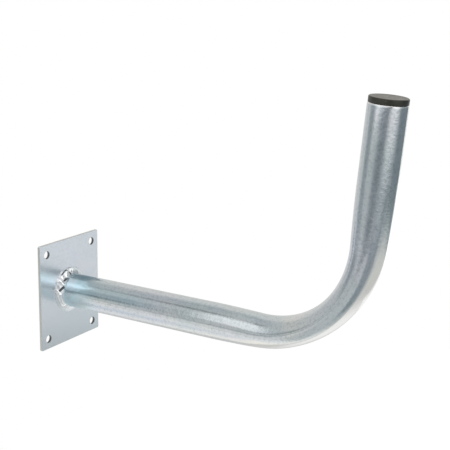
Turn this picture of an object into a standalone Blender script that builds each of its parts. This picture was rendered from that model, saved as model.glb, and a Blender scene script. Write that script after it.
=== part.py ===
# Wall bracket that carries a satellite dish: a fixing plate with four screw holes, one bent
# steel tube welded to the middle of the plate, the weld bead round that joint, and a push-in
# plastic cap that closes the top of the mast.
# Units are metres. The wall is the plane X = 0, the arm runs out along +X and +Z is up.

import math

import bmesh
import bpy
from mathutils import Matrix

MM = 0.001

# Fixing plate
PLATE_WIDTH = 100 * MM
PLATE_HEIGHT = 120 * MM
PLATE_THICKNESS = 3 * MM
PLATE_CORNER_RADIUS = 1.5 * MM
PLATE_EDGE_BREAK = 0.35 * MM
HOLE_DIAMETER = 8.5 * MM
HOLE_INSET = 11.5 * MM

# Bent tube: straight arm, bend, straight mast
TUBE_DIAMETER = 38 * MM
TUBE_WALL = 2 * MM
ARM_STRAIGHT = 245 * MM
BEND_RADIUS = 115 * MM
BEND_ANGLE = math.radians(85.5)
MAST_STRAIGHT = 133.5 * MM
# The bend squeezes the round tube into an oval that fades out along both straights
BEND_FLATTENING = 0.23
BEND_WIDENING = 0.10
OVAL_RUN_OUT = 57 * MM

# Weld bead: a fillet between the plate and the foot of the tube
WELD_LEG_ON_PLATE = 6.5 * MM
WELD_LEG_ON_TUBE = 6 * MM
WELD_CROWN = 0.9 * MM
WELD_TOE = 0.4 * MM

# End cap: a flush head on a hollow shank with springy ribs
CAP_HEAD_HEIGHT = 5.4 * MM
CAP_HEAD_INSET = 0.4 * MM
CAP_EDGE_RADIUS = 1.1 * MM
CAP_ROOF = 2.4 * MM
SHANK_LENGTH = 20 * MM
SHANK_WALL = 1.8 * MM
SHANK_LEAD_IN = 0.8 * MM
RIB_COUNT = 3
RIB_HEIGHT = 1.8 * MM
RIB_THICKNESS = 1.2 * MM
RIB_SWEEP = 0.9 * MM

# Fits
SEAT_GAP = 0.3 * MM
RIB_CLEARANCE = 0.3 * MM

# Facets
TURN_STEPS = 48
HOLE_STEPS = 32
CORNER_STEPS = 4
EDGE_STEPS = 4
CROWN_STEPS = 6
BEND_STEPS = 30

# Worked out from the sizes above
TUBE_RADIUS = TUBE_DIAMETER / 2
BORE_RADIUS = TUBE_RADIUS - TUBE_WALL
ARM_FOOT_X = PLATE_THICKNESS + SEAT_GAP
BEND_LENGTH = BEND_RADIUS * BEND_ANGLE
MAST_TILT = math.pi / 2 - BEND_ANGLE


def clear_scene():
    for old in list(bpy.data.objects):
        bpy.data.objects.remove(old, do_unlink=True)


def make_collection(name):
    collection = bpy.data.collections.new(name)
    bpy.context.scene.collection.children.link(collection)
    return collection


def make_material(name, colour, roughness, metallic):
    material = bpy.data.materials.new(name)
    material.use_nodes = True
    shader = material.node_tree.nodes["Principled BSDF"]
    shader.inputs["Base Color"].default_value = (*colour, 1.0)
    shader.inputs["Roughness"].default_value = roughness
    shader.inputs["Metallic"].default_value = metallic
    return material


def add_object(name, data, collection, material):
    data.materials.append(material)
    obj = bpy.data.objects.new(name, data)
    collection.objects.link(obj)
    return obj


def arc(centre, radius, start, end, steps):
    points = []
    for step in range(steps + 1):
        angle = start + (end - start) * step / steps
        points.append((centre[0] + radius * math.cos(angle), centre[1] + radius * math.sin(angle)))
    return points


def turned_mesh(name, profile, closed):
    mesh = bpy.data.meshes.new(name)
    edges = [(index, index + 1) for index in range(len(profile) - 1)]
    if closed:
        edges.append((len(profile) - 1, 0))
    mesh.from_pydata([(radius, 0.0, height) for radius, height in profile], edges, [])
    return mesh


def add_turning(obj):
    screw = obj.modifiers.new("turn", "SCREW")
    screw.axis = "Z"
    screw.steps = TURN_STEPS
    screw.render_steps = TURN_STEPS
    screw.use_merge_vertices = True
    screw.merge_threshold = 0.01 * MM
    screw.use_smooth_shade = True


# Fixing plate: a flat outline with four round holes, turned to stand against the wall

def add_outline(curve, points):
    spline = curve.splines.new("POLY")
    spline.points.add(len(points) - 1)
    for point, (across, up) in zip(spline.points, points):
        point.co = (across, up, 0.0, 1.0)
    spline.use_cyclic_u = True


def plate_outline():
    half_width = PLATE_WIDTH / 2 - PLATE_CORNER_RADIUS
    half_height = PLATE_HEIGHT / 2 - PLATE_CORNER_RADIUS
    corners = ((half_width, half_height), (-half_width, half_height),
               (-half_width, -half_height), (half_width, -half_height))
    points = []
    for index, corner in enumerate(corners):
        start = index * math.pi / 2
        points += arc(corner, PLATE_CORNER_RADIUS, start, start + math.pi / 2, CORNER_STEPS)
    return points


def hole_centres():
    across = PLATE_WIDTH / 2 - HOLE_INSET
    up = PLATE_HEIGHT / 2 - HOLE_INSET
    return [(side * across, level * up) for side in (-1, 1) for level in (-1, 1)]


def make_wall_plate(collection, material):
    curve = bpy.data.curves.new("wall_plate", "CURVE")
    curve.dimensions = "2D"
    curve.fill_mode = "BOTH"
    curve.extrude = PLATE_THICKNESS / 2
    add_outline(curve, plate_outline())
    for centre in hole_centres():
        add_outline(curve, arc(centre, HOLE_DIAMETER / 2, 0.0, 2 * math.pi, HOLE_STEPS)[:-1])
    plate = add_object("wall_plate", curve, collection, material)
    plate.location = (PLATE_THICKNESS / 2, 0.0, 0.0)
    plate.rotation_euler = (math.pi / 2, 0.0, math.pi / 2)
    weld = plate.modifiers.new("join_caps", "WELD")
    weld.merge_threshold = 0.01 * MM
    bevel = plate.modifiers.new("edge_break", "BEVEL")
    bevel.width = PLATE_EDGE_BREAK
    bevel.segments = 1
    bevel.limit_method = "ANGLE"
    bevel.angle_limit = math.radians(60)


# Bent tube: oval rings along the centreline, joined into a skin that is thickened inwards

def tube_pose(along):
    # Place and heading on the centreline, with along = 0 at the start of the bend
    heading = min(max(along / BEND_RADIUS, 0.0), BEND_ANGLE)
    past_arc = along - heading * BEND_RADIUS
    x = ARM_STRAIGHT + BEND_RADIUS * math.sin(heading) + past_arc * math.cos(heading)
    z = BEND_RADIUS * (1 - math.cos(heading)) + past_arc * math.sin(heading)
    return x, z, heading


def ovality(along):
    # 1 in the middle of the bend, easing to 0 one run-out past each end of it
    middle = BEND_LENGTH / 2
    share = max(0.0, 1 - abs(along - middle) / (middle + OVAL_RUN_OUT))
    return share * share * (3 - 2 * share)


def tube_stations():
    first = -OVAL_RUN_OUT
    span = BEND_LENGTH + 2 * OVAL_RUN_OUT
    stations = [first + span * step / BEND_STEPS for step in range(BEND_STEPS + 1)]
    return [-ARM_STRAIGHT] + stations + [BEND_LENGTH + MAST_STRAIGHT]


def ring_matrix(along):
    # Local X points to the inside of the bend, local Y across it, local Z along the tube
    x, z, heading = tube_pose(along)
    oval = ovality(along)
    in_plane = TUBE_RADIUS * (1 - BEND_FLATTENING * oval)
    across = TUBE_RADIUS * (1 + BEND_WIDENING * oval)
    turn = Matrix.Rotation(-heading, 4, "Y") @ Matrix.Rotation(math.pi / 2, 4, "Y")
    return Matrix.Translation((x, 0.0, z)) @ turn @ Matrix.Diagonal((in_plane, across, 1.0, 1.0))


def make_bent_tube(collection, material):
    work = bmesh.new()
    previous = None
    for along in tube_stations():
        made = bmesh.ops.create_circle(work, segments=TURN_STEPS, radius=1.0, matrix=ring_matrix(along))
        ring = {edge for vertex in made["verts"] for edge in vertex.link_edges}
        if previous:
            bmesh.ops.bridge_loops(work, edges=list(previous | ring))
        previous = ring
    bmesh.ops.recalc_face_normals(work, faces=work.faces)
    mesh = bpy.data.meshes.new("bent_tube")
    work.to_mesh(mesh)
    work.free()
    mesh.shade_smooth()
    tube = add_object("bent_tube", mesh, collection, material)
    tube.location = (ARM_FOOT_X, 0.0, 0.0)
    wall = tube.modifiers.new("wall", "SOLIDIFY")
    wall.thickness = TUBE_WALL
    wall.offset = -1.0
    wall.use_even_offset = True


# Weld bead: a convex fillet turned about the arm, with blunt toes

def weld_profile():
    inner = TUBE_RADIUS + SEAT_GAP
    foot = SEAT_GAP
    on_tube = (inner, WELD_LEG_ON_TUBE)
    tube_toe = (inner + WELD_TOE, WELD_LEG_ON_TUBE)
    plate_toe = (TUBE_RADIUS + WELD_LEG_ON_PLATE, foot + WELD_TOE)
    on_plate = (TUBE_RADIUS + WELD_LEG_ON_PLATE, foot)
    run = plate_toe[0] - tube_toe[0]
    drop = tube_toe[1] - plate_toe[1]
    length = math.hypot(run, drop)
    points = [on_tube, tube_toe]
    for step in range(1, CROWN_STEPS):
        share = step / CROWN_STEPS
        rise = WELD_CROWN * math.sin(math.pi * share)
        points.append((tube_toe[0] + run * share + rise * drop / length,
                       tube_toe[1] - drop * share + rise * run / length))
    return points + [plate_toe, on_plate, (inner, foot)]


def make_weld_bead(collection, material):
    mesh = turned_mesh("weld_bead", weld_profile(), closed=True)
    bead = add_object("weld_bead", mesh, collection, material)
    bead.location = (PLATE_THICKNESS, 0.0, 0.0)
    bead.rotation_euler = (0.0, math.pi / 2, 0.0)
    add_turning(bead)


# End cap: turned about the mast axis, on an empty that sits on the end of the tube

def cap_profile():
    head = TUBE_RADIUS - CAP_HEAD_INSET
    rib = BORE_RADIUS - RIB_CLEARANCE
    core = rib - RIB_HEIGHT
    hollow = core - SHANK_WALL
    edge = (head - CAP_EDGE_RADIUS, CAP_HEAD_HEIGHT - CAP_EDGE_RADIUS)
    points = [(0.0, CAP_HEAD_HEIGHT)]
    points += arc(edge, CAP_EDGE_RADIUS, math.pi / 2, 0.0, EDGE_STEPS)
    points += [(head, 0.0), (core, 0.0)]
    pitch = SHANK_LENGTH / (RIB_COUNT + 1)
    for number in range(1, RIB_COUNT + 1):
        root = -number * pitch
        points += [(core, root + RIB_THICKNESS), (rib, root + RIB_THICKNESS / 2 + RIB_SWEEP),
                   (rib, root + RIB_SWEEP), (core, root)]
    points += [(core, SHANK_LEAD_IN - SHANK_LENGTH), (core - SHANK_LEAD_IN, -SHANK_LENGTH),
               (hollow, -SHANK_LENGTH), (hollow, CAP_HEAD_HEIGHT - CAP_ROOF),
               (0.0, CAP_HEAD_HEIGHT - CAP_ROOF)]
    return points


def make_end_cap(collection, material):
    x, z, heading = tube_pose(BEND_LENGTH + MAST_STRAIGHT)
    seat = bpy.data.objects.new("cap_seat", None)
    seat.location = (ARM_FOOT_X + x + SEAT_GAP * math.cos(heading), 0.0, z + SEAT_GAP * math.sin(heading))
    seat.rotation_euler = (0.0, MAST_TILT, 0.0)
    collection.objects.link(seat)
    cap = add_object("end_cap", turned_mesh("end_cap", cap_profile(), closed=False), collection, material)
    cap.parent = seat
    add_turning(cap)


def main():
    clear_scene()
    bracket = make_collection("dish_wall_bracket")
    make_wall_plate(bracket, make_material("zinc_plate", (0.56, 0.59, 0.62), 0.30, 1.0))
    make_bent_tube(bracket, make_material("zinc_tube", (0.58, 0.62, 0.64), 0.22, 1.0))
    make_weld_bead(bracket, make_material("zinc_weld", (0.60, 0.63, 0.64), 0.26, 1.0))
    make_end_cap(bracket, make_material("black_plastic", (0.035, 0.035, 0.033), 0.45, 0.0))


main()
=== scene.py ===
import math

import bmesh
import bpy
from mathutils import Matrix, Vector


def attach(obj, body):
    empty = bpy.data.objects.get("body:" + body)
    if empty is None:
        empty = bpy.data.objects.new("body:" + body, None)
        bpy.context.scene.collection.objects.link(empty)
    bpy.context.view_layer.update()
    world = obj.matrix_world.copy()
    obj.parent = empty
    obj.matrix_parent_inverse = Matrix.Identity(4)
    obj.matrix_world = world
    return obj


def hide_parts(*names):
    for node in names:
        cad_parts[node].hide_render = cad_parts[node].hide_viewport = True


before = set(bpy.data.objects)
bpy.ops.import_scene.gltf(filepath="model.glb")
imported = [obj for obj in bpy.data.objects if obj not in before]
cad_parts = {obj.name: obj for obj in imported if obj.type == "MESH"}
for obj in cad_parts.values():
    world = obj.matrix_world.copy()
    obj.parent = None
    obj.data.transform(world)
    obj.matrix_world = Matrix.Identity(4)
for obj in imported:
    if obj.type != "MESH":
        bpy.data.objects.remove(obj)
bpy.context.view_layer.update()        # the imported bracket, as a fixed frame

mm = 0.001
touching = 0.01 * mm      # points nearer than this become one
print("frame loaded:", ", ".join(sorted(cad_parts)))


# node tree helpers, shared by the shapes, the finishes and the studio

def addNode(tree, kind, **settings):
    node = tree.nodes.new(kind)
    for key, value in settings.items():
        setattr(node, key, value)
    return node


def feed(tree, socket, value):      # a link from another node, or a plain value
    if isinstance(value, bpy.types.NodeSocket):
        tree.links.new(value, socket)
    else:
        socket.default_value = value


def feedAll(tree, node, values):
    for label, value in values.items():
        feed(tree, node.inputs[label], value)


def calc(tree, operation, *terms):
    node = addNode(tree, "ShaderNodeMath", operation=operation)
    for socket, term in zip(node.inputs, terms):
        feed(tree, socket, term)
    return node.outputs[0]


def total(tree, *terms):
    result = terms[0]
    for term in terms[1:]:
        result = calc(tree, "ADD", result, term)
    return result


def times(tree, *terms):
    result = terms[0]
    for term in terms[1:]:
        result = calc(tree, "MULTIPLY", result, term)
    return result


def minus(tree, first, second):
    return calc(tree, "SUBTRACT", first, second)


def ratio(tree, first, second):
    return calc(tree, "DIVIDE", first, second)


def hypot(tree, first, second):
    return calc(tree, "SQRT", total(tree, times(tree, first, first), times(tree, second, second)))


def clampTo(tree, value, low, high):
    return calc(tree, "MINIMUM", calc(tree, "MAXIMUM", value, low), high)


def ease(tree, value, start, end, low=0.0, high=1.0):      # smooth step from low to high
    node = addNode(tree, "ShaderNodeMapRange", interpolation_type="SMOOTHSTEP")
    feedAll(tree, node, {"Value": value, "From Min": start, "From Max": end})
    feedAll(tree, node, {"To Min": low, "To Max": high})
    return node.outputs["Result"]


def window(tree, value, low, high, soft):      # 1 between low and high, fading over soft
    rise = ease(tree, value, low - soft, low + soft)
    fall = ease(tree, value, high - soft, high + soft, 1.0, 0.0)
    return times(tree, rise, fall)


def splitVector(tree, vector):
    node = addNode(tree, "ShaderNodeSeparateXYZ")
    feed(tree, node.inputs[0], vector)
    return node.outputs


def joinVector(tree, x, y, z):
    node = addNode(tree, "ShaderNodeCombineXYZ")
    for socket, value in zip(node.inputs, (x, y, z)):
        feed(tree, socket, value)
    return node.outputs[0]


def scaleVector(tree, vector, factors):
    node = addNode(tree, "ShaderNodeVectorMath", operation="MULTIPLY")
    feed(tree, node.inputs[0], vector)
    feed(tree, node.inputs[1], factors)
    return node.outputs[0]


def noise(tree, vector, scale, detail, seed):
    node = addNode(tree, "ShaderNodeTexNoise", noise_dimensions="4D")
    feedAll(tree, node, {"Vector": vector, "Scale": scale, "Detail": detail, "W": seed})
    return node.outputs[0]


def specks(tree, vector, scale, size, seed, bare=0.65):      # round dots, a share of the cells bare
    node = addNode(tree, "ShaderNodeTexVoronoi", voronoi_dimensions="4D", feature="F1")
    feedAll(tree, node, {"Vector": vector, "Scale": scale, "W": seed})
    chosen = ease(tree, splitVector(tree, node.outputs["Color"])[0], bare - 0.01, bare + 0.01)
    return times(tree, ease(tree, node.outputs["Distance"], size, size * 0.3), chosen)


def tint(tree, amount, first, second):      # colour mix
    node = addNode(tree, "ShaderNodeMix", data_type="RGBA")
    feed(tree, node.inputs[0], amount)
    for socket, colour in ((node.inputs[6], first), (node.inputs[7], second)):
        feed(tree, socket, colour if isinstance(colour, bpy.types.NodeSocket) else (*colour, 1.0))
    return node.outputs[2]


def blendPoint(tree, amount, first, second):      # point between two points
    node = addNode(tree, "ShaderNodeMix", data_type="VECTOR")
    feed(tree, node.inputs[0], amount)
    feed(tree, node.inputs[4], first)
    feed(tree, node.inputs[5], second)
    return node.outputs[1]


# geometry trees: started with named inputs, run once, kept as a plain mesh

def startTree(name, sizes):
    tree = bpy.data.node_groups.new(name, "GeometryNodeTree")
    tree.interface.new_socket("Geometry", in_out="INPUT", socket_type="NodeSocketGeometry")
    tree.interface.new_socket("Geometry", in_out="OUTPUT", socket_type="NodeSocketGeometry")
    for label, value in sizes.items():
        kind = "NodeSocketInt" if isinstance(value, int) else "NodeSocketFloat"
        tree.interface.new_socket(label, in_out="INPUT", socket_type=kind)
    tree.interface.new_socket("finish", in_out="INPUT", socket_type="NodeSocketMaterial")
    return tree, addNode(tree, "NodeGroupInput").outputs


def endTree(tree, given, geometry):
    real = addNode(tree, "GeometryNodeRealizeInstances")
    feed(tree, real.inputs[0], geometry)
    coat = addNode(tree, "GeometryNodeSetMaterial")
    feedAll(tree, coat, {"Geometry": real.outputs[0], "Material": given["finish"]})
    feed(tree, addNode(tree, "NodeGroupOutput").inputs[0], coat.outputs[0])


def mergeDoubles(tree, geometry):
    node = addNode(tree, "GeometryNodeMergeByDistance")
    feedAll(tree, node, {"Geometry": geometry, "Distance": touching})
    return node.outputs[0]


def storeValue(tree, geometry, kind, name, value):      # an attribute that a finish reads
    node = addNode(tree, "GeometryNodeStoreNamedAttribute", data_type=kind, domain="POINT")
    feedAll(tree, node, {"Geometry": geometry, "Name": name, "Value": value})
    return node.outputs[0]


def addPiece(name, mesh):
    piece = bpy.data.objects.new(name, mesh)
    bpy.context.scene.collection.objects.link(piece)
    return piece


def keepMesh(work, name):
    mesh = bpy.data.meshes.new(name)
    work.to_mesh(mesh)
    work.free()
    return mesh


def flatten(piece):      # keep what the modifiers make, as a plain mesh
    graph = bpy.context.evaluated_depsgraph_get()
    shown = piece.evaluated_get(graph)
    made = bpy.data.meshes.new_from_object(shown, preserve_all_data_layers=True, depsgraph=graph)
    piece.modifiers.clear()
    piece.data = made
    made.name = piece.name


def growTree(name, tree, sizes, finish, start=None):
    piece = addPiece(name, start or bpy.data.meshes.new(name))
    grow = piece.modifiers.new(tree.name, "NODES")
    grow.node_group = tree
    values = {**sizes, "finish": finish}
    for item in tree.interface.items_tree:
        if item.in_out == "INPUT" and item.name in values:
            grow[item.identifier] = values[item.name]
    flatten(piece)
    return piece


def breakEdges(piece, width, angle):      # round the edges that turn by more than the angle
    bevel = piece.modifiers.new("edgeBreak", "BEVEL")
    bevel.width = width
    bevel.segments = 3
    bevel.limit_method = "ANGLE"
    bevel.angle_limit = angle


def faceOutwards(piece):
    work = bmesh.new()
    work.from_mesh(piece.data)
    bmesh.ops.recalc_face_normals(work, faces=work.faces)
    work.to_mesh(piece.data)
    work.free()


def seat(piece, node, body):      # the piece stands for that node and moves with its body
    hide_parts(node)
    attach(piece, body)
    print(piece.name, "made:", len(piece.data.polygons), "faces")


# finishes

def startFinish(name):
    material = bpy.data.materials.new(name)
    material.use_nodes = True
    tree = material.node_tree
    return material, tree, tree.nodes["Principled BSDF"].inputs


def bump(tree, height, depth, under=None):
    node = addNode(tree, "ShaderNodeBump")
    feedAll(tree, node, {"Strength": 1.0, "Distance": depth, "Height": height})
    if under:
        feed(tree, node.inputs["Normal"], under)
    return node.outputs[0]


# bright zinc plating: tinted clouds, a mottled grain, shallow waves and a few nibs of zinc
# each range is where its noise starts to show and where it shows in full
zinc = {
    "cool": (0.645, 0.695, 0.71),
    "lavender": (0.70, 0.71, 0.75),
    "warm": (0.775, 0.765, 0.735),
    "shade": (0.40, 0.45, 0.46),
    "nib": (0.88, 0.88, 0.88),
    "cloudScale": 16.0,
    "cloudRange": (0.38, 0.64),
    "blushScale": 9.6,
    "blushRange": (0.52, 0.74),
    "grainScale": 340.0,
    "grainRange": (0.46, 0.66),
    "mottle": 0.24,      # how far the grain darkens the tint
    "fineScale": 1020.0,
    "fineShare": 0.25,
    "blotchScale": 75.6,
    "blotchRange": (0.32, 0.70),
    "waveScale": 42.0,
    "nibScale": 60.0,
    "nibSize": 0.055,
    "metal": 1.0,
    "lines": None,
}


def zincFinish(name, place, look, marks):
    material, tree, shader = startFinish(name)
    vector = place(tree)

    def layer(scale, detail, step):      # each layer of noise has a seed of its own
        return noise(tree, vector, scale, detail, look["seed"] + step)

    clouds = layer(look["cloudScale"], 3.0, 0)
    blush = layer(look["blushScale"], 2.0, 5)
    colour = tint(tree, ease(tree, clouds, *look["cloudRange"]), look["cool"], look["lavender"])
    colour = tint(tree, ease(tree, blush, *look["blushRange"]), colour, look["warm"])
    grain = layer(look["grainScale"], 4.0, 9)
    fine = times(tree, layer(look["fineScale"], 3.0, 13), look["fineShare"])
    mottled = ease(tree, grain, *look["grainRange"], 0.0, look["mottle"])
    colour = tint(tree, mottled, colour, look["shade"])
    blotch = layer(look["blotchScale"], 4.0, 17)
    rough = ease(tree, blotch, *look["blotchRange"], look["smoothest"], look["roughest"])
    normal = bump(tree, layer(look["waveScale"], 2.0, 21), look["waveDepth"])
    normal = bump(tree, total(tree, grain, fine), look["grainDepth"], normal)
    nibs = specks(tree, vector, look["nibScale"], look["nibSize"], look["seed"] + 29)
    colour = tint(tree, nibs, colour, look["nib"])
    normal = bump(tree, nibs, look["nibHeight"], normal)
    lines = look["lines"]
    if lines:      # drawing lines that run along the tube
        scales = (lines["along"], lines["across"], lines["across"])
        drawn = noise(tree, scaleVector(tree, vector, scales), 1.0, 3.0, look["seed"] + 25)
        rough = total(tree, rough, ease(tree, drawn, *lines["roughRange"], 0.0, lines["rough"]))
        dark = ease(tree, drawn, *lines["darkRange"], 0.0, lines["dark"])
        colour = tint(tree, dark, colour, look["shade"])
        normal = bump(tree, drawn, lines["depth"], normal)
    colour, rough = marks(tree, vector, colour, rough)
    feed(tree, shader["Base Color"], colour)
    feed(tree, shader["Roughness"], rough)
    feed(tree, shader["Normal"], normal)
    shader["Metallic"].default_value = look["metal"]
    return material


def objectPlace(tree):
    return addNode(tree, "ShaderNodeTexCoord").outputs["Object"]


def tubePlace(tree):      # length along the tube and place round it, stored by the tube's own tree
    return addNode(tree, "ShaderNodeAttribute", attribute_name="tubePlace").outputs["Vector"]


# wall plate: sheared flat, four punched holes, broken edges
plate = {
    "width": 100 * mm,
    "height": 120 * mm,
    "thickness": 3 * mm,
    "corner": 1.5 * mm,
    "holeRadius": 4.25 * mm,
    "holeInset": 11.5 * mm,
    "cornerSteps": 8,
    "holeSteps": 64,
}
plateEdgeBreak = 0.35 * mm
plateZinc = {
    **zinc,
    "cool": (0.885, 0.92, 0.955),
    "lavender": (0.935, 0.93, 0.98),
    "warm": (0.93, 0.93, 0.935),
    "shade": (0.66, 0.72, 0.75),
    "smoothest": 0.20,
    "roughest": 0.26,
    "metal": 0.80,      # the matt passivation on the sheet scatters some of the light
    "grainDepth": 0.03 * mm,
    "waveDepth": 0.10 * mm,
    "nibHeight": 0.03 * mm,
    "seed": 3,
}
plateMark = {
    "paintedShadeStrength": 0.8,      # painted shade: the plate is painted darker towards the bottom
    "paintedShadeRange": (50 * mm, -60 * mm),
    "cutSide": (0.60, 0.595, 0.555),
    "cutSideRough": 0.16,
    "holeWall": (0.16, 0.165, 0.16),
    "holeWallRough": 0.2,
    "inner": 0.25 * mm,      # cut sides and hole walls start to show this near to an edge
    "outer": 0.05 * mm,      # and show in full this near to it
}


def plateTree():
    tree, given = startTree("punchedPlate", plate)
    outline = addNode(tree, "GeometryNodeCurvePrimitiveQuadrilateral", mode="RECTANGLE")
    feedAll(tree, outline, {"Width": given["width"], "Height": given["height"]})
    rounded = addNode(tree, "GeometryNodeFilletCurve", mode="POLY")
    feedAll(tree, rounded, {"Curve": outline.outputs[0], "Count": given["cornerSteps"]})
    feed(tree, rounded.inputs["Radius"], given["corner"])
    spots = addNode(tree, "GeometryNodeMeshGrid")      # one point for each hole
    twice = times(tree, given["holeInset"], 2.0)
    feed(tree, spots.inputs["Size X"], minus(tree, given["width"], twice))
    feed(tree, spots.inputs["Size Y"], minus(tree, given["height"], twice))
    feedAll(tree, spots, {"Vertices X": 2, "Vertices Y": 2})
    hole = addNode(tree, "GeometryNodeCurvePrimitiveCircle", mode="RADIUS")
    feedAll(tree, hole, {"Resolution": given["holeSteps"], "Radius": given["holeRadius"]})
    punch = addNode(tree, "GeometryNodeInstanceOnPoints")
    feedAll(tree, punch, {"Points": spots.outputs["Mesh"], "Instance": hole.outputs[0]})
    holes = addNode(tree, "GeometryNodeRealizeInstances")
    feed(tree, holes.inputs[0], punch.outputs[0])
    lines = addNode(tree, "GeometryNodeJoinGeometry")
    feed(tree, lines.inputs[0], rounded.outputs[0])
    feed(tree, lines.inputs[0], holes.outputs[0])
    sheet = addNode(tree, "GeometryNodeFillCurve", mode="NGONS")
    feed(tree, sheet.inputs["Curve"], lines.outputs[0])
    thick = addNode(tree, "GeometryNodeExtrudeMesh", mode="FACES")
    feedAll(tree, thick, {"Mesh": sheet.outputs[0], "Offset": joinVector(tree, 0.0, 0.0, 1.0)})
    feedAll(tree, thick, {"Offset Scale": given["thickness"], "Individual": False})
    back = addNode(tree, "GeometryNodeFlipFaces")
    feed(tree, back.inputs["Mesh"], sheet.outputs[0])
    whole = addNode(tree, "GeometryNodeJoinGeometry")
    feed(tree, whole.inputs[0], thick.outputs["Mesh"])
    feed(tree, whole.inputs[0], back.outputs[0])
    stand = addNode(tree, "GeometryNodeTransform")
    feed(tree, stand.inputs["Geometry"], mergeDoubles(tree, whole.outputs[0]))
    stand.inputs["Rotation"].default_value = (math.pi / 2, 0.0, math.pi / 2)
    endTree(tree, given, stand.outputs[0])
    return tree


def plateMarks(tree, vector, colour, rough):      # painted shade lower down, dull cut sides and hole walls
    spot = splitVector(tree, vector)
    y, z = calc(tree, "ABSOLUTE", spot[1]), calc(tree, "ABSOLUTE", spot[2])
    halfWidth, halfHeight = plate["width"] / 2, plate["height"] / 2
    inner, outer = plateMark["inner"], plateMark["outer"]
    sides = calc(tree, "MAXIMUM", ease(tree, y, halfWidth - inner, halfWidth - outer),
                 ease(tree, z, halfHeight - inner, halfHeight - outer))
    across = minus(tree, y, halfWidth - plate["holeInset"])
    up = minus(tree, z, halfHeight - plate["holeInset"])
    away = hypot(tree, across, up)
    punched = ease(tree, away, plate["holeRadius"] + inner, plate["holeRadius"] + outer)
    # painted shade: the colour darkens towards the bottom of the plate
    shadedBelow = ease(tree, spot[2], *plateMark["paintedShadeRange"], 0.0, plateMark["paintedShadeStrength"])
    colour = tint(tree, shadedBelow, colour, plateZinc["shade"])
    colour = tint(tree, sides, colour, plateMark["cutSide"])
    colour = tint(tree, punched, colour, plateMark["holeWall"])
    rough = total(tree, rough, times(tree, sides, plateMark["cutSideRough"]),
                  times(tree, punched, plateMark["holeWallRough"]))
    return colour, rough


plateFinish = zincFinish("plateZinc", objectPlace, plateZinc, plateMarks)
wallPlate = growTree("wallPlate", plateTree(), plate, plateFinish)
faceOutwards(wallPlate)
breakEdges(wallPlate, plateEdgeBreak, math.radians(60))
flatten(wallPlate)
for face in wallPlate.data.polygons:      # both broad faces stay flat, edges and hole walls are round
    face.use_smooth = abs(face.normal.x) < 0.999
seat(wallPlate, "wall_plate", "bracket")


# bent tube: a skin that follows the arm, the bend and the mast, then a wall
tube = {
    "foot": 3.3 * mm,      # just clear of the plate
    "arm": 245 * mm,
    "bendRadius": 115 * mm,
    "bendAngle": math.radians(85.5),
    "mast": 133.5 * mm,
    "radius": 19 * mm,
    "flattening": 0.23,      # the bend squeezes the tube into an oval
    "widening": 0.10,
    "runOut": 57 * mm,
    "shoulder": 0.74,      # the bend's outer wall is flat up to this share of the half width
    "shoulderStart": 0.25,      # wider by this where the bend starts
    "shoulderEnd": 0.14,      # and narrower by this where it ends
    "arch": 1.35,
    "archStart": 2.0,
    "rings": 241,
    "sides": 161,
}
tubeWall = 2 * mm
tubeRimBreak = 0.8 * mm
# the flat outer wall: lengths along the tube, from where the bend starts
pressing = {
    "narrowing": (0.0, 70 * mm),
    "closing": (110 * mm, 175 * mm),
    "arching": (10 * mm, 60 * mm),
    "first": (-12 * mm, 14 * mm),      # pressed flat in two steps
    "firstShare": 0.62,
    "second": (20 * mm, 65 * mm),
    "secondShare": 0.38,
    "fading": (0.05, 0.60),      # shares of the oval, on the mast's side
}
tubeZinc = {
    **zinc,
    "smoothest": 0.10,
    "roughest": 0.17,
    "nibScale": 82.0,
    "nibSize": 0.085,
    "nibHeight": 0.2 * mm,
    "grainDepth": 0.08 * mm,
    "waveDepth": 0.12 * mm,
    "lines": {
        "along": 4.0,
        "across": 700.0,
        "rough": 0.05,
        "roughRange": (0.35, 0.70),
        "dark": 0.36,
        "darkRange": (0.56, 0.74),
        "depth": 0.006 * mm,
    },
    "mottle": 0.34,
    "seed": 11,
}
tubeMark = {
    "paintedBendReflection": (0.785, 0.78, 0.745),      # painted reflection: the outside of the bend is painted warmer and lighter
    "paintedBendReflectionStrength": 0.8,
    "paintedBendReflectionStart": -15 * mm,
    "paintedBendReflectionSoft": 30 * mm,
    "paintedBendReflectionEdge": (-1.9 * mm, -9.5 * mm),      # how low round the tube it starts
    "paintedBendReflectionFade": -5.7 * mm,
    "footLowPaintedReflection": (0.77, 0.95, 1.0),      # teal passivation near the weld, painted lighter low on the tube as a reflection
    # painted shade: the teal is painted darker higher up the tube
    "footHighPaintedShade": (0.41, 0.57, 0.61),
    "footRise": (2 * mm, 15 * mm),
    "footReach": (60 * mm, 18 * mm),      # from the tube's foot: where it starts and where it is full
    "footPatchScale": 48.0,
    "footPatch": (0.34, 0.60, 0.45, 0.95),      # range of the noise, then least and most strength
    "arm": (0.50, 0.69, 0.765),      # fainter teal further along the arm, in a band where the arm mirrors a dark line: partly passivation, partly painted reflection
    "armStrength": 0.47,
    "armReach": (155 * mm, 85 * mm),
    "armBand": (3 * mm, 14.5 * mm, 3 * mm),      # lowest, highest and soft, in height on the tube
    "sawnEndHighlight": (0.87, 0.87, 0.86),      # the sawn end at the cap, painted bright as its highlight
    "sawnRough": 0.10,
    "sawnFrom": 1.7 * mm,
    "sawnTo": 1.2 * mm,
    "dull": 0.32,      # rougher under the arm's foot, from the heat
    "dullRise": (4 * mm, -2 * mm),
}


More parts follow.
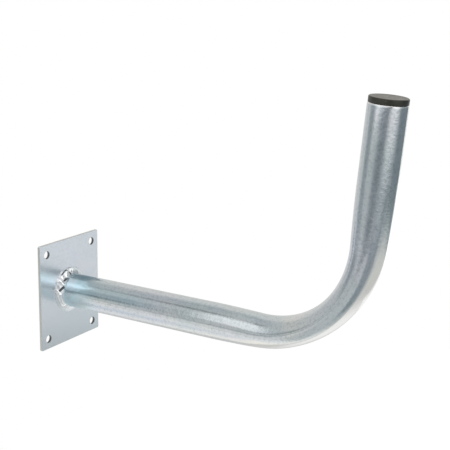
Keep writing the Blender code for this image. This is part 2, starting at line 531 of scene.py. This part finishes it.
def tubeTree():
    tree, given = startTree("bentTubeSkin", tube)
    bendLength = times(tree, given["bendRadius"], given["bendAngle"])
    length = total(tree, given["arm"], bendLength, given["mast"])
    grid = addNode(tree, "GeometryNodeMeshGrid")
    feedAll(tree, grid, {"Size X": length, "Size Y": 2 * math.pi})
    feedAll(tree, grid, {"Vertices X": given["rings"], "Vertices Y": given["sides"]})
    spot = splitVector(tree, addNode(tree, "GeometryNodeInputPosition").outputs[0])
    along = total(tree, spot[0], times(tree, length, 0.5))
    along = minus(tree, along, given["arm"])      # 0 where the bend starts
    sine, cosine = calc(tree, "SINE", spot[1]), calc(tree, "COSINE", spot[1])
    place = joinVector(tree, along, times(tree, sine, given["radius"]),
                       times(tree, cosine, given["radius"]))
    skin = storeValue(tree, grid.outputs["Mesh"], "FLOAT_VECTOR", "tubePlace", place)

    heading = clampTo(tree, ratio(tree, along, given["bendRadius"]), 0.0, given["bendAngle"])
    past = minus(tree, along, times(tree, heading, given["bendRadius"]))
    rise, run = calc(tree, "SINE", heading), calc(tree, "COSINE", heading)
    half = times(tree, bendLength, 0.5)
    away = calc(tree, "ABSOLUTE", minus(tree, along, half))
    share = ratio(tree, away, total(tree, half, given["runOut"]))
    oval = ease(tree, share, 0.0, 1.0, 1.0, 0.0)
    flatter = minus(tree, 1.0, times(tree, oval, given["flattening"]))
    wider = total(tree, 1.0, times(tree, oval, given["widening"]))

    shoulder = ease(tree, along, *pressing["narrowing"], given["shoulderStart"], 0.0)
    shoulder = total(tree, given["shoulder"], shoulder)
    shoulder = minus(tree, shoulder, ease(tree, along, *pressing["closing"], 0.0, given["shoulderEnd"]))
    heel = calc(tree, "SQRT", minus(tree, 1.0, times(tree, shoulder, shoulder)))
    reach = clampTo(tree, ratio(tree, calc(tree, "ABSOLUTE", sine), shoulder), 0.0, 1.0)
    arch = ease(tree, along, *pressing["arching"], given["archStart"], given["arch"])
    drop = times(tree, minus(tree, 1.0, heel), calc(tree, "POWER", reach, arch))
    outside = calc(tree, "LESS_THAN", cosine, times(tree, heel, -1.0))
    pressed = total(tree, ease(tree, along, *pressing["first"], 0.0, pressing["firstShare"]),
                    ease(tree, along, *pressing["second"], 0.0, pressing["secondShare"]))
    fading = ease(tree, oval, *pressing["fading"])
    ending = calc(tree, "MAXIMUM", calc(tree, "LESS_THAN", along, half), fading)
    flat = times(tree, outside, pressed, ending)
    dent = minus(tree, minus(tree, drop, 1.0), cosine)
    section = total(tree, cosine, times(tree, flat, dent))

    inwards = times(tree, given["radius"], flatter, section)
    across = times(tree, given["radius"], wider)
    x = total(tree, given["foot"], given["arm"], times(tree, given["bendRadius"], rise),
              times(tree, past, run), times(tree, inwards, rise, -1.0))
    z = total(tree, times(tree, given["bendRadius"], minus(tree, 1.0, run)),
              times(tree, past, rise), times(tree, inwards, run))
    move = addNode(tree, "GeometryNodeSetPosition")
    feed(tree, move.inputs["Geometry"], skin)
    feed(tree, move.inputs["Position"], joinVector(tree, x, times(tree, across, sine), z))
    endTree(tree, given, mergeDoubles(tree, move.outputs[0]))
    return tree


def tubeMarks(tree, vector, colour, rough):      # painted warm reflection on the outside of the bend, teal foot with painted reflection and shade, sawn end with a painted highlight
    spot = splitVector(tree, vector)
    bendEnd = tube["bendRadius"] * tube["bendAngle"]
    tubeEnd = bendEnd + tube["mast"]
    inBend = window(tree, spot[0], tubeMark["paintedBendReflectionStart"], bendEnd, tubeMark["paintedBendReflectionSoft"])
    edge = ease(tree, spot[0], *pressing["narrowing"], *tubeMark["paintedBendReflectionEdge"])
    outside = ease(tree, minus(tree, spot[2], edge), 0.0, tubeMark["paintedBendReflectionFade"])
    # painted reflection: the outside of the bend is painted warmer and lighter
    paintedBendReflection = times(tree, inBend, outside, tubeMark["paintedBendReflectionStrength"])
    colour = tint(tree, paintedBendReflection, colour, tubeMark["paintedBendReflection"])

    def fromFoot(reach):      # 1 at the foot, 0 further along the arm
        return ease(tree, spot[0], *[length - tube["arm"] for length in reach])

    foot = fromFoot(tubeMark["footReach"])
    patchy = noise(tree, vector, tubeMark["footPatchScale"], 2.0, 43.0)
    patchy = ease(tree, patchy, *tubeMark["footPatch"])
    # teal passivation, painted lighter low on the tube as a reflection and darker higher up as shade
    high = ease(tree, spot[2], *tubeMark["footRise"])
    tealPaintedShading = tint(tree, high, tubeMark["footLowPaintedReflection"], tubeMark["footHighPaintedShade"])
    colour = tint(tree, times(tree, foot, patchy), colour, tealPaintedShading)
    # a teal band along the arm, partly passivation and partly a painted reflection of a dark line
    band = times(tree, fromFoot(tubeMark["armReach"]), window(tree, spot[2], *tubeMark["armBand"]))
    colour = tint(tree, times(tree, band, tubeMark["armStrength"]), colour, tubeMark["arm"])
    # painted highlight: the sawn end under the cap is painted bright
    sawnEndHighlight = ease(tree, spot[0], tubeEnd - tubeMark["sawnFrom"], tubeEnd - tubeMark["sawnTo"])
    colour = tint(tree, sawnEndHighlight, colour, tubeMark["sawnEndHighlight"])
    dull = times(tree, foot, ease(tree, spot[2], *tubeMark["dullRise"]), tubeMark["dull"])
    return colour, total(tree, rough, times(tree, sawnEndHighlight, tubeMark["sawnRough"]), dull)


tubeFinish = zincFinish("tubeZinc", tubePlace, tubeZinc, tubeMarks)
bentTube = growTree("bentTube", tubeTree(), tube, tubeFinish)
faceOutwards(bentTube)
wall = bentTube.modifiers.new("wall", "SOLIDIFY")
wall.thickness = tubeWall
wall.offset = -1.0
wall.use_even_offset = True
breakEdges(bentTube, tubeRimBreak, math.radians(50))
flatten(bentTube)
bentTube.data.shade_smooth()
seat(bentTube, "bent_tube", "bracket")


# weld bead: a crowned fillet with crescent ripples, and drops and pits where the run started
weld = {
    "tubeRadius": 19 * mm,
    "plateFace": 3 * mm,
    "legOnPlate": 6.8 * mm,
    "legOnTube": 6.2 * mm,
    "crown": 0.7 * mm,
    "crownShape": 0.7,      # below 1 for a fuller crown
    "bite": 0.25 * mm,      # how far it sinks into the plate and the tube
    "edgeBite": 0.1 * mm,      # how far the crown's own edges do
    "ripples": 38.0,
    "rippleHeight": 0.09 * mm,
    "bow": 2.6,      # how far each crescent bends
    "uneven": 5.0,      # how far the ripples stray from an even step
    "unevenScale": 3.0,
    "ragged": 1.3 * mm,
    "raggedScale": 150.0,
    "markFade": 0.35,      # drops and pits fade out towards the crown's edges
    "seed": 4.0,
    "around": 481,
    "over": 61,
}
# each from a start to an end: turn in degrees from the -Y side towards the top,
# and share of the way from the tube to the plate
weldRidges = [
    {"start": (88, 0.72), "end": (81, 0.38), "width": 2.4 * mm, "height": 0.9 * mm},
    {"start": (67, 0.64), "end": (58, 0.30), "width": 2.9 * mm, "height": 1.7 * mm},
    {"start": (49, 0.76), "end": (46, 0.58), "width": 2.3 * mm, "height": 1.3 * mm},
    {"start": (37, 0.88), "end": (31, 0.12), "width": 2.2 * mm, "height": 1.6 * mm},
    {"start": (9, 0.80), "end": (4, 0.60), "width": 2.0 * mm, "height": 0.9 * mm},
    {"start": (1, 0.50), "end": (-36, 0.34), "width": 3.0 * mm, "height": 0.9 * mm},
]
weldGrooves = [
    {"start": (55, 0.96), "end": (71, 0.97), "width": 1.3 * mm, "height": 0.9 * mm},
    {"start": (73, 0.92), "end": (76, 0.12), "width": 1.1 * mm, "height": 1.1 * mm},
    {"start": (44, 0.30), "end": (57, 0.11), "width": 1.3 * mm, "height": 1.1 * mm},
    {"start": (12, 0.45), "end": (22, 0.12), "width": 1.5 * mm, "height": 1.3 * mm},
    {"start": (21, 0.84), "end": (17, 0.76), "width": 1.7 * mm, "height": 0.4 * mm},
]
weldZinc = {
    **plateZinc,
    "cool": (0.75, 0.80, 0.815),
    "lavender": (0.78, 0.795, 0.83),
    "warm": (0.81, 0.81, 0.81),
    "smoothest": 0.26,
    "roughest": 0.34,
    "grainDepth": 0.02 * mm,
    "waveDepth": 0.05 * mm,
    "seed": 23,
}
weldMark = {
    "farTopPaintedShade": (0.36, 0.44, 0.45),      # painted shade: a darker teal on the far side of the weld's top
    "farTopPaintedShadeStrength": 0.25,
    "farTopPaintedShadeRise": (2 * mm, 14 * mm),
    "farTopPaintedShadeAcross": (-8 * mm, 4 * mm),
    "drop": (0.98, 0.98, 0.98),
    "dropRange": (0.1, 0.9),      # heights in mm
    "dropRough": -0.14,
    "pit": (0.13, 0.143, 0.143),      # dark scale
    "pitDepth": 3.0,      # pits count this many times over
    "pitRange": (-0.6, -2.6),
    "pitRough": 0.25,
}


def weldTree():
    tree, given = startTree("weldRun", weld)
    tuck = 0.1      # the loop goes over the crown, then this far down the plate and up the tube
    grid = addNode(tree, "GeometryNodeMeshGrid")
    feedAll(tree, grid, {"Size X": 2 * math.pi, "Size Y": 1.0 + 2 * tuck})
    feedAll(tree, grid, {"Vertices X": given["around"], "Vertices Y": given["over"]})
    spot = splitVector(tree, addNode(tree, "GeometryNodeInputPosition").outputs[0])
    turn, loop = spot[0], total(tree, spot[1], 0.5 + tuck)
    turnSine, turnCosine = calc(tree, "SINE", turn), calc(tree, "COSINE", turn)
    share = clampTo(tree, loop, 0.0, 1.0)
    inner = minus(tree, given["tubeRadius"], given["bite"])
    ground = minus(tree, given["plateFace"], given["bite"])
    topX = total(tree, given["plateFace"], given["legOnTube"])
    footR = total(tree, given["tubeRadius"], given["legOnPlate"])
    topR = minus(tree, given["tubeRadius"], given["edgeBite"])
    footX = minus(tree, given["plateFace"], given["edgeBite"])
    run = minus(tree, footR, topR)
    drop = minus(tree, topX, footX)
    slope = hypot(tree, run, drop)
    arch = calc(tree, "SINE", times(tree, share, math.pi))

    phase = total(tree, times(tree, turn, given["ripples"], 0.5), times(tree, given["bow"], arch))
    ring = joinVector(tree, turnSine, turnCosine, 0.0)
    uneven = noise(tree, ring, given["unevenScale"], 2.0, given["seed"])
    phase = total(tree, phase, times(tree, uneven, given["uneven"]))
    ripple = calc(tree, "ABSOLUTE", calc(tree, "SINE", phase))
    middleR = times(tree, total(tree, topR, footR), 0.5)
    unrolled = joinVector(tree, times(tree, share, slope), times(tree, turnCosine, middleR),
                          times(tree, turnSine, middleR))
    drift = minus(tree, noise(tree, unrolled, given["raggedScale"], 3.0, given["seed"]), 0.5)
    drift = times(tree, drift, given["ragged"])

    def swell(mark):      # 1 on the line of a mark, 0 at its edge and beyond
        (startTurn, startShare), (endTurn, endShare) = mark["start"], mark["end"]
        side = times(tree, minus(tree, turn, math.radians(startTurn)), middleR)
        up = times(tree, minus(tree, share, startShare), slope)
        goSide = times(tree, middleR, math.radians(endTurn - startTurn))
        goUp = times(tree, slope, endShare - startShare)
        squared = total(tree, times(tree, goSide, goSide), times(tree, goUp, goUp))
        part = ratio(tree, total(tree, times(tree, side, goSide), times(tree, up, goUp)), squared)
        part = clampTo(tree, part, 0.0, 1.0)
        side = minus(tree, side, times(tree, part, goSide))
        up = minus(tree, up, times(tree, part, goUp))
        gap = ratio(tree, total(tree, hypot(tree, side, up), drift), mark["width"])
        bulge = calc(tree, "MAXIMUM", minus(tree, 1.0, times(tree, gap, gap)), 0.0)
        return calc(tree, "SQRT", bulge)

    def highest(marks):
        result = 0.0
        for mark in marks:
            result = calc(tree, "MAXIMUM", result, times(tree, swell(mark), mark["height"]))
        return result

    drops, pits = highest(weldRidges), highest(weldGrooves)
    lift = total(tree, given["crown"], times(tree, given["rippleHeight"], ripple), drift)
    lift = times(tree, lift, calc(tree, "POWER", arch, given["crownShape"]))
    marked = times(tree, minus(tree, drops, pits), ease(tree, arch, 0.0, given["markFade"]))
    lift = total(tree, lift, marked)
    signed = minus(tree, drops, times(tree, pits, weldMark["pitDepth"]))      # below 0 in the pits
    signed = ratio(tree, signed, 1.0 * mm)
    bead = storeValue(tree, grid.outputs["Mesh"], "FLOAT", "weldMarks", signed)

    outX = ratio(tree, times(tree, lift, run), slope)
    outR = ratio(tree, times(tree, lift, drop), slope)
    crownX = total(tree, topX, times(tree, share, drop, -1.0), outX)
    crownR = total(tree, topR, times(tree, share, run), outR)
    under = clampTo(tree, times(tree, minus(tree, loop, 1.0), 1 / tuck), 0.0, 1.0)
    closing = clampTo(tree, times(tree, minus(tree, loop, 1.0 + tuck), 1 / tuck), 0.0, 1.0)
    point = joinVector(tree, crownX, crownR, 0.0)
    point = blendPoint(tree, under, point, joinVector(tree, ground, inner, 0.0))
    point = blendPoint(tree, closing, point, joinVector(tree, topX, topR, 0.0))
    profile = splitVector(tree, point)
    place = joinVector(tree, profile[0], times(tree, profile[1], turnCosine, -1.0),
                       times(tree, profile[1], turnSine))
    move = addNode(tree, "GeometryNodeSetPosition")
    feedAll(tree, move, {"Geometry": bead, "Position": place})
    endTree(tree, given, mergeDoubles(tree, move.outputs[0]))
    return tree


def weldMarks(tree, vector, colour, rough):      # painted shade on the far side of the top, bright drops, dark scale left in the pits
    mark = addNode(tree, "ShaderNodeAttribute", attribute_name="weldMarks").outputs["Fac"]
    drop, pit = ease(tree, mark, *weldMark["dropRange"]), ease(tree, mark, *weldMark["pitRange"])
    spot = splitVector(tree, vector)
    # painted shade: darker teal on the far side of the top
    farTopPaintedShade = times(tree, ease(tree, spot[2], *weldMark["farTopPaintedShadeRise"]),
                   ease(tree, spot[1], *weldMark["farTopPaintedShadeAcross"]), weldMark["farTopPaintedShadeStrength"])
    colour = tint(tree, farTopPaintedShade, colour, weldMark["farTopPaintedShade"])
    colour = tint(tree, drop, colour, weldMark["drop"])
    colour = tint(tree, pit, colour, weldMark["pit"])
    return colour, total(tree, rough, times(tree, drop, weldMark["dropRough"]),
                         times(tree, pit, weldMark["pitRough"]))


weldFinish = zincFinish("weldZinc", objectPlace, weldZinc, weldMarks)
weldBead = growTree("weldBead", weldTree(), weld, weldFinish)
faceOutwards(weldBead)
weldBead.data.shade_smooth()
seat(weldBead, "weld_bead", "bracket")


# end cap: turned head and hollow shank, with springy ribs set along the shank
cap = {
    "headRadius": 18.6 * mm,
    "headHeight": 5.4 * mm,
    "edge": 1.1 * mm,
    "lowerEdge": 0.3 * mm,
    "dish": 0.22 * mm,      # the top sinks a little inside its rim
    "dishEdge": 0.3 * mm,
    "dishBlend": 0.02 * mm,
    "rimWidth": 1.5 * mm,
    "roof": 2.4 * mm,
    "core": 14.9 * mm,
    "hollow": 13.1 * mm,
    "shank": 20 * mm,
    "leadIn": 0.8 * mm,
    "gate": 1.6 * mm,      # moulding mark in the middle of the top
    "gateDepth": 0.12 * mm,
    "turnSteps": 128,
}
ribs = {"count": 3, "pitch": 5 * mm}
rib = {"reach": 16.7 * mm, "root": 14.6 * mm, "thickness": 1.2 * mm, "sweep": 0.9 * mm}
capClearance = 0.3 * mm      # between the tube's sawn end and the cap's head
mastLean = math.pi / 2 - tube["bendAngle"]
bendReach = Vector((math.cos(mastLean), 0.0, 1.0 - math.sin(mastLean))) * tube["bendRadius"]
mastWay = Vector((math.sin(mastLean), 0.0, math.cos(mastLean)))
mastTop = bendReach + mastWay * (tube["mast"] + capClearance)
mastTop.x += tube["foot"] + tube["arm"]
capSeat = Matrix.Translation(mastTop) @ Matrix.Rotation(mastLean, 4, "Y")
plastic = {
    "dark": (0.016, 0.016, 0.013),
    "light": (0.028, 0.027, 0.022),
    "scuff": (0.075, 0.073, 0.066),
    "dustAndSheen": (0.075, 0.0575, 0.040),      # dust and painted sheen, lighter and warmer on the top
    "shine": (1.0, 0.97, 0.88),
    "rough": (0.34, 0.44),
    "roughRange": (0.30, 0.70),
    "cloudScale": 90.0,
    "cloudRange": (0.35, 0.68),
    "scuffScale": (260.0, 900.0, 420.0),
    "scuffRange": (0.60, 0.74),
    "scuffStrength": 0.5,
    "scuffRough": 0.10,
    "scuffRoughRange": (0.58, 0.74),
    "scuffHeight": 0.6,
    "dustAndSheenPatch": (0.28, 0.72, 0.55, 1.0),      # range of the noise, then least and most strength
    "topRough": -0.06,
    "topFade": (0.5 * mm, 0.2 * mm),      # how far below the top the dust and painted sheen start and are full
    "grainScale": 1500.0,
    "depth": 0.012 * mm,
}


def roundCorner(centre, radius, start, end, steps):
    angles = [math.radians(start + (end - start) * step / steps) for step in range(steps + 1)]
    return [(centre[0] + radius * math.cos(a), centre[1] + radius * math.sin(a)) for a in angles]


def turnProfile(name, profile, closed, steps):      # rings round Z, in the same order each run
    angles = [2 * math.pi * step / steps for step in range(steps)]
    points, rings, faces = [], [], []
    for radius, height in profile:
        around = angles if radius > touching else angles[:1]      # one point on the axis
        rings.append([len(points) + step % len(around) for step in range(steps)])
        points += [(radius * math.cos(a), radius * math.sin(a), height) for a in around]
    for first, second in zip(rings, rings[1:] + rings[:1] if closed else rings[1:]):
        for step in range(steps):
            ahead = (step + 1) % steps
            corners = (first[step], second[step], second[ahead], first[ahead])
            faces.append(tuple(dict.fromkeys(corners)))
    mesh = bpy.data.meshes.new(name)
    mesh.from_pydata(points, [], faces)
    return mesh


def capProfile():      # radius and height, from the middle of the top round to the middle of the roof
    top, head, gate, rim = cap["headHeight"], cap["headRadius"], cap["gate"], cap["rimWidth"]
    floor, roof, foot = top - cap["dish"], top - cap["roof"], -cap["shank"]
    inside = head - cap["edge"] - rim
    return [
        (0.0, floor - cap["gateDepth"]),
        (gate * 0.8, floor - cap["gateDepth"]),
        (gate, floor),
        (gate + cap["dishEdge"], floor),
        (inside - cap["dishEdge"], floor),
        (inside, floor + cap["dishBlend"]),
        (inside + rim * 0.45, top - cap["dishBlend"]),
        (inside + rim * 0.6, top),
        *roundCorner((head - cap["edge"], top - cap["edge"]), cap["edge"], 90, 0, 8),
        *roundCorner((head - cap["lowerEdge"], cap["lowerEdge"]), cap["lowerEdge"], 0, -90, 4),
        (cap["core"], 0.0),
        (cap["core"], foot + cap["leadIn"]),
        (cap["core"] - cap["leadIn"], foot),
        (cap["hollow"], foot),
        (cap["hollow"], roof),
        (0.0, roof),
    ]


def ribProfile():
    middle = rib["thickness"] / 2 + rib["sweep"]
    return [(rib["root"], rib["thickness"]), (rib["reach"], middle), (rib["reach"], rib["sweep"]),
            (rib["root"], 0.0)]


def ribTree():
    tree, given = startTree("capRibs", ribs)
    line = addNode(tree, "GeometryNodeMeshLine", mode="OFFSET")
    step = joinVector(tree, 0.0, 0.0, times(tree, given["pitch"], -1.0))
    feedAll(tree, line, {"Count": given["count"], "Start Location": step, "Offset": step})
    put = addNode(tree, "GeometryNodeInstanceOnPoints")
    feedAll(tree, put, {"Points": line.outputs[0], "Instance": given["Geometry"]})
    endTree(tree, given, put.outputs[0])
    return tree


def plasticFinish(name):      # black moulded plastic: fine grain, scuffs, a top with dust and painted sheen
    material, tree, shader = startFinish(name)
    vector = objectPlace(tree)
    lift = addNode(tree, "ShaderNodeVectorMath", operation="DOT_PRODUCT")      # height along the mast
    feed(tree, lift.inputs[0], vector)
    feed(tree, lift.inputs[1], tuple(capSeat.col[2][:3]))
    headTop = capSeat.translation.dot(capSeat.col[2].xyz) + cap["headHeight"]
    top = ease(tree, lift.outputs["Value"], *[headTop - below for below in plastic["topFade"]])
    grain = noise(tree, vector, plastic["grainScale"], 3.0, 2.0)
    cloud = noise(tree, vector, plastic["cloudScale"], 3.0, 7.0)
    scuff = noise(tree, scaleVector(tree, vector, plastic["scuffScale"]), 1.0, 4.0, 12.0)
    colour = tint(tree, ease(tree, cloud, *plastic["cloudRange"]), plastic["dark"], plastic["light"])
    scuffed = ease(tree, scuff, *plastic["scuffRange"], 0.0, plastic["scuffStrength"])
    colour = tint(tree, scuffed, colour, plastic["scuff"])
    # dust and painted sheen: the top is painted lighter and warmer
    dustAndSheen = times(tree, top, ease(tree, cloud, *plastic["dustAndSheenPatch"]))
    colour = tint(tree, dustAndSheen, colour, plastic["dustAndSheen"])
    rough = total(tree, ease(tree, cloud, *plastic["roughRange"], *plastic["rough"]),
                  ease(tree, scuff, *plastic["scuffRoughRange"], 0.0, plastic["scuffRough"]),
                  times(tree, top, plastic["topRough"]))
    height = total(tree, grain, times(tree, scuff, plastic["scuffHeight"]))
    feed(tree, shader["Base Color"], colour)
    feed(tree, shader["Roughness"], rough)
    shader["Specular Tint"].default_value = (*plastic["shine"], 1.0)
    feed(tree, shader["Normal"], bump(tree, height, plastic["depth"]))
    return material


capFinish = plasticFinish("capPlastic")
ribRing = turnProfile("capRib", ribProfile(), True, cap["turnSteps"])
capRibs = growTree("capRibs", ribTree(), ribs, capFinish, ribRing)
whole = bmesh.new()
whole.from_mesh(turnProfile("capBody", capProfile(), False, cap["turnSteps"]))
whole.from_mesh(capRibs.data)
whole.transform(capSeat)
bpy.data.objects.remove(capRibs)
capMesh = keepMesh(whole, "endCap")
capMesh.materials.clear()
capMesh.materials.append(capFinish)
capMesh.shade_smooth()
capMesh.set_sharp_from_angle(angle=math.radians(35))
endCap = addPiece("endCap", capMesh)
seat(endCap, "end_cap", "cap")


# studio: a white table far below and behind, a white sweep, and a grey room in front
studio = {
    "tableCentre": (0.1, 1.6, -1.1),
    "tableRadius": 1.45,
    "tableSides": 96,
    "tableColour": (0.75, 0.75, 0.75, 1.0),
    "tableGlow": 0.50,      # as the camera sees it; mirrors see a pool of light on it
    "pool": 0.38,
    "poolCentre": (0.35, 0.92),
    "poolEdge": (0.20, 0.82),
    "room": (0.60, 0.625, 0.627),
    "sweep": (1.17, 1.17, 1.14),
    "sweepRange": (0.28, 0.93),      # how far a direction points to +Y
    "below": (1.05, 1.04, 1.01),
    "belowRange": (5.0, -46.0),      # heights in degrees
    "soft": (0.90, 0.90, 0.90),      # plain light on what isn't a mirror
    "backdrop": (1.0, 1.0, 1.0),
}
# soft light and dark areas that bright metal shows: bearings from the -Y side towards +X,
# and heights, all in degrees
bands = [
    {"bearing": (61, 160), "height": (-75, -15), "soft": (9, 9), "colour": (0.69, 0.705, 0.685)},
    {"bearing": (-137, -46), "height": (-53, -15), "soft": (17, 9), "colour": (0.65, 0.725, 0.85)},
    {"bearing": (-29, 112), "height": (-82, 1), "soft": (4, 9), "colour": (0.595, 0.625, 0.63)},
    {"bearing": (30, 80), "height": (-63, -4), "soft": (8, 8), "colour": (0.325, 0.365, 0.39)},
    {"bearing": (73, 165), "height": (-21, 60), "soft": (4, 3), "colour": (0.23, 0.27, 0.295)},
    {"bearing": (-15, 42), "height": (-17, 30), "soft": (20, 3), "colour": (0.23, 0.265, 0.285)},
    {"bearing": (-52, -24), "height": (-13, -7.5), "soft": (6, 2.5), "colour": (0.47, 0.51, 0.52)},
    {"bearing": (-80, -49), "height": (-13, 0), "soft": (9, 5), "colour": (0.325, 0.37, 0.38)},
    {"bearing": (-44, -34), "height": (4, 31), "soft": (4, 6), "colour": (0.40, 0.445, 0.465)},
    {"bearing": (-34, -28), "height": (-24, -15), "soft": (2, 1.5), "colour": (0.86, 0.865, 0.85)},
    {"bearing": (-33, -29), "height": (0, 10), "soft": (1.5, 3), "colour": (0.70, 0.72, 0.72)},
    {"bearing": (-42, -34), "height": (1, 10), "soft": (2, 4), "colour": (0.17, 0.20, 0.215)},
    {"bearing": (-67, -40), "height": (49, 56), "soft": (11, 4), "colour": (0.235, 0.255, 0.265)},
    {"bearing": (-130, -75), "height": (50, 68), "soft": (12, 6), "colour": (0.52, 0.56, 0.58)},
    {"bearing": (36, 90), "height": (-14, 60), "soft": (18, 5), "colour": (1.15, 1.15, 1.15)},
    {"bearing": (56, 104), "height": (36, 60), "soft": (8, 5), "colour": (1.05, 1.05, 1.05)},
    {"bearing": (20, 47), "height": (-6, 28), "soft": (5, 4), "colour": (0.06, 0.07, 0.08)},
    {"bearing": (-170, -112), "height": (-30, 47), "soft": (15, 13), "colour": (0.77, 0.775, 0.755)},
    {"bearing": (-200, 200), "height": (69, 95), "soft": (5, 5), "colour": (1.2, 1.2, 1.2)},
]
# the first is near enough that each stretch of the tube sees it in another place,
# the second is what the plate mirrors
softboxes = [
    {"place": (0.274, -0.501, 0.398), "aim": (0.33, 0.0, 0.03), "size": (0.85, 0.61), "radiance": 0.50},
    {"place": (0.34, 0.41, -0.075), "aim": (0.0, 0.0, 0.0), "size": (0.45, 0.32), "radiance": 0.34},
]


def lightPath(tree):      # what the camera sees straight, and what mirrors see
    path = addNode(tree, "ShaderNodeLightPath").outputs
    straight = calc(tree, "MAXIMUM", path["Is Camera Ray"], path["Is Transmission Ray"])
    return straight, path["Is Glossy Ray"]


def makeFloor():
    work = bmesh.new()
    bmesh.ops.create_circle(work, cap_ends=True, segments=studio["tableSides"],
                            radius=studio["tableRadius"],
                            matrix=Matrix.Translation(studio["tableCentre"]))
    mesh = keepMesh(work, "floor")
    material = bpy.data.materials.new("paleFloor")
    material.use_nodes = True
    tree = material.node_tree
    tree.nodes.clear()
    matt = addNode(tree, "ShaderNodeBsdfDiffuse")
    matt.inputs["Color"].default_value = studio["tableColour"]
    glow = addNode(tree, "ShaderNodeEmission")
    spot = splitVector(tree, objectPlace(tree))
    away = hypot(tree, *[minus(tree, spot[axis], studio["poolCentre"][axis]) for axis in (0, 1)])
    straight, mirrored = lightPath(tree)
    pool = ease(tree, away, *studio["poolEdge"], studio["pool"], 0.0)
    shine = total(tree, times(tree, straight, studio["tableGlow"]), times(tree, mirrored, pool))
    feed(tree, glow.inputs["Strength"], shine)
    both = addNode(tree, "ShaderNodeAddShader")
    feed(tree, both.inputs[0], matt.outputs[0])
    feed(tree, both.inputs[1], glow.outputs[0])
    feed(tree, addNode(tree, "ShaderNodeOutputMaterial").inputs["Surface"], both.outputs[0])
    mesh.materials.append(material)
    addPiece("floor", mesh)


def makeWorld():
    world = bpy.data.worlds.new("studio")
    bpy.context.scene.world = world
    world.use_nodes = True
    tree = world.node_tree
    tree.nodes.clear()
    way = splitVector(tree, addNode(tree, "ShaderNodeTexCoord").outputs["Generated"])
    bearing = calc(tree, "ARCTAN2", way[0], times(tree, way[1], -1.0))
    bearing = times(tree, bearing, 180 / math.pi)
    height = times(tree, calc(tree, "ARCSINE", way[2]), 180 / math.pi)
    mirror = tint(tree, ease(tree, way[1], *studio["sweepRange"]), studio["room"], studio["sweep"])
    mirror = tint(tree, ease(tree, height, *studio["belowRange"]), mirror, studio["below"])
    for band in bands:
        across = window(tree, bearing, *band["bearing"], band["soft"][0])
        inside = times(tree, across, window(tree, height, *band["height"], band["soft"][1]))
        mirror = tint(tree, inside, mirror, band["colour"])
    straight, mirrored = lightPath(tree)
    plain = tint(tree, straight, studio["soft"], studio["backdrop"])
    glow = addNode(tree, "ShaderNodeBackground")
    feed(tree, glow.inputs["Color"], tint(tree, mirrored, plain, mirror))
    feed(tree, addNode(tree, "ShaderNodeOutputWorld").inputs["Surface"], glow.outputs[0])


def makeSoftboxes():
    for box in softboxes:
        data = bpy.data.lights.new("softbox", "AREA")
        data.shape = "RECTANGLE"
        data.size, data.size_y = box["size"]
        data.energy = box["radiance"] * math.pi * data.size * data.size_y
        lamp = bpy.data.objects.new("softbox", data)
        towards = Vector(box["aim"]) - Vector(box["place"])
        turned = towards.to_track_quat("-Z", "Y").to_matrix().to_4x4()
        lamp.matrix_world = Matrix.Translation(box["place"]) @ turned
        lamp.visible_camera = False
        bpy.context.scene.collection.objects.link(lamp)


makeFloor()
makeWorld()
makeSoftboxes()
print("studio made:", len(bands), "soft areas,", len(softboxes), "softboxes")


# camera, where the photograph was taken from
view = {
    "place": (0.6961234, -0.8224127, 0.3338344),
    "yaw": math.radians(30.784),
    "pitch": math.radians(13.5229),
    "roll": math.radians(-1.134),
    "lens": 77.946,
    "sensor": 36.0,
}


def makeCamera():
    yaw, pitch, roll = view["yaw"], view["pitch"], view["roll"]
    level = math.cos(pitch)
    ahead = Vector((-math.sin(yaw) * level, math.cos(yaw) * level, -math.sin(pitch)))
    right = Vector((math.cos(yaw), math.sin(yaw), 0.0))
    down = ahead.cross(right)
    rightTurned = right * math.cos(roll) + down * math.sin(roll)
    downTurned = down * math.cos(roll) - right * math.sin(roll)
    data = bpy.data.cameras.new("camera")
    data.lens = view["lens"]
    data.sensor_width = view["sensor"]
    camera = bpy.data.objects.new("camera", data)
    turned = Matrix((rightTurned, -downTurned, -ahead)).transposed().to_4x4()
    camera.matrix_world = Matrix.Translation(view["place"]) @ turned
    bpy.context.scene.collection.objects.link(camera)
    bpy.context.scene.camera = camera


makeCamera()
bpy.context.scene.view_settings.view_transform = "Standard"
bpy.context.view_layer.update()
